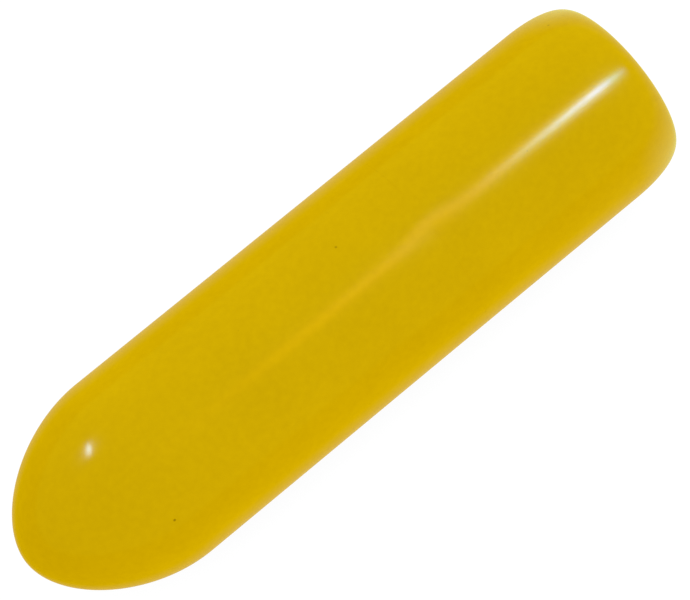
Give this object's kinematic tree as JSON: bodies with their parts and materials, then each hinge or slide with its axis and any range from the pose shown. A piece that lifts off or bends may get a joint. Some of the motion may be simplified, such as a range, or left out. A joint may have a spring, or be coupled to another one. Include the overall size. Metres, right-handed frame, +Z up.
{
  "type": "capsule shaker",
  "caption": "Hand shaker shaped like a capsule: a glossy tube with one domed end and one flat end, filled with loose steel shot.",
  "frame": {"origin": "on the surface that the shaker lies on, below the middle of its length and of its width", "axes": "+X along the shaker's axis towards its flat end, the domed nose towards -X; +Z up from the surface it lies on; +Y across it"},
  "size_m": [0.1464, 0.04, 0.04],
  "materials": {
    "shell": "high-gloss moulded plastic, opaque yellow",
    "shot": "plain polished steel"
  },
  "bodies": {
    "shell": {"body_shell": "shell", "end_cap": "shell"},
    "shot_row1": {"shot_row1_ball01": "shot", "shot_row1_ball02": "shot", "shot_row1_ball03": "shot", "shot_row1_ball04": "shot", "shot_row1_ball05": "shot", "shot_row1_ball06": "shot", "shot_row1_ball07": "shot", "shot_row1_ball08": "shot", "shot_row1_ball09": "shot", "shot_row1_ball10": "shot"},
    "shot_row2": {"shot_row2_ball01": "shot", "shot_row2_ball02": "shot", "shot_row2_ball03": "shot", "shot_row2_ball04": "shot", "shot_row2_ball05": "shot", "shot_row2_ball06": "shot", "shot_row2_ball07": "shot", "shot_row2_ball08": "shot", "shot_row2_ball09": "shot", "shot_row2_ball10": "shot"},
    "shot_row3": {"shot_row3_ball01": "shot", "shot_row3_ball02": "shot", "shot_row3_ball03": "shot", "shot_row3_ball04": "shot", "shot_row3_ball05": "shot", "shot_row3_ball06": "shot", "shot_row3_ball07": "shot", "shot_row3_ball08": "shot", "shot_row3_ball09": "shot", "shot_row3_ball10": "shot"},
    "shot_row4": {"shot_row4_ball01": "shot", "shot_row4_ball02": "shot", "shot_row4_ball03": "shot", "shot_row4_ball04": "shot", "shot_row4_ball05": "shot", "shot_row4_ball06": "shot", "shot_row4_ball07": "shot", "shot_row4_ball08": "shot", "shot_row4_ball09": "shot", "shot_row4_ball10": "shot"},
    "shot_row5": {"shot_row5_ball01": "shot", "shot_row5_ball02": "shot", "shot_row5_ball03": "shot", "shot_row5_ball04": "shot", "shot_row5_ball05": "shot", "shot_row5_ball06": "shot", "shot_row5_ball07": "shot", "shot_row5_ball08": "shot", "shot_row5_ball09": "shot", "shot_row5_ball10": "shot"}
  },
  "joints": [
    {"name": "shot_row1_slide", "type": "slide", "parent": "shell", "child": "shot_row1", "axis": [1, 0, 0], "range_m": [-0.0355, 0.0331]},
    {"name": "shot_row2_slide", "type": "slide", "parent": "shell", "child": "shot_row2", "axis": [1, 0, 0], "range_m": [-0.0331, 0.0355]},
    {"name": "shot_row3_slide", "type": "slide", "parent": "shell", "child": "shot_row3", "axis": [1, 0, 0], "range_m": [-0.0355, 0.0331]},
    {"name": "shot_row4_slide", "type": "slide", "parent": "shell", "child": "shot_row4", "axis": [1, 0, 0], "range_m": [-0.0331, 0.0355]},
    {"name": "shot_row5_slide", "type": "slide", "parent": "shell", "child": "shot_row5", "axis": [1, 0, 0], "range_m": [-0.0355, 0.0331]}
  ]
}
